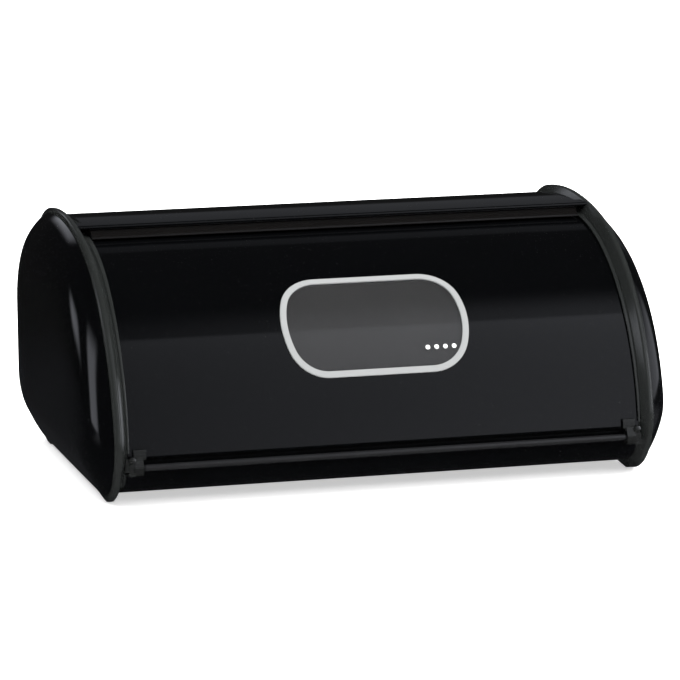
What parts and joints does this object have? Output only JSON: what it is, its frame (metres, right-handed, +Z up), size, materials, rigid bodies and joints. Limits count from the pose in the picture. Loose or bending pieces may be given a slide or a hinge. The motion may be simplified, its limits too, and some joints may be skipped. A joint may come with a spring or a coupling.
{
  "type": "bread bin",
  "caption": "Roll-top bread bin: black painted steel body and curved rolling door with an oval smoky window, between moulded end frames and domed end caps.",
  "frame": {"origin": "middle of the footprint, on the plane the feet stand on", "axes": "+X along the bin to the viewer's right when facing the door, +Y from the door to the back, +Z up"},
  "size_m": [0.414, 0.2872, 0.1769],
  "materials": {
    "black_paint": "high gloss black paint, faintly bluish",
    "frame_plastic": "satin charcoal moulded plastic, faintly greenish",
    "rail_plastic": "satin brown-black moulded plastic",
    "silver_ring": "satin light grey",
    "smoky_pane": "smoky see-through plastic, polished",
    "white_eyelet": "off-white, satin",
    "fastener_steel": "plain zinc-plated steel"
  },
  "bodies": {
    "base": {"left_end_frame": "frame_plastic", "right_end_frame": "frame_plastic", "left_end_cap": "black_paint", "right_end_cap": "black_paint", "body_shell": "black_paint", "top_front_rail": "rail_plastic"},
    "door": {"door_panel": "black_paint", "window_ring": "silver_ring", "window_pane": "smoky_pane", "window_retainer": "frame_plastic", "vent_eyelet_1": "white_eyelet", "vent_eyelet_2": "white_eyelet", "vent_eyelet_3": "white_eyelet", "vent_eyelet_4": "white_eyelet", "handle_rod": "black_paint", "left_front_clip": "frame_plastic", "right_front_clip": "frame_plastic", "left_clip_screw": "fastener_steel", "right_clip_screw": "fastener_steel", "left_rear_shoe": "frame_plastic", "right_rear_shoe": "frame_plastic", "left_shoe_rivet": "fastener_steel", "right_shoe_rivet": "fastener_steel"}
  },
  "joints": [
    {"name": "door_roll", "type": "hinge", "parent": "base", "child": "door", "pos_m": [0, 0.0025, 0.025], "axis": [-1, 0, 0], "range_deg": [0, 72]}
  ]
}
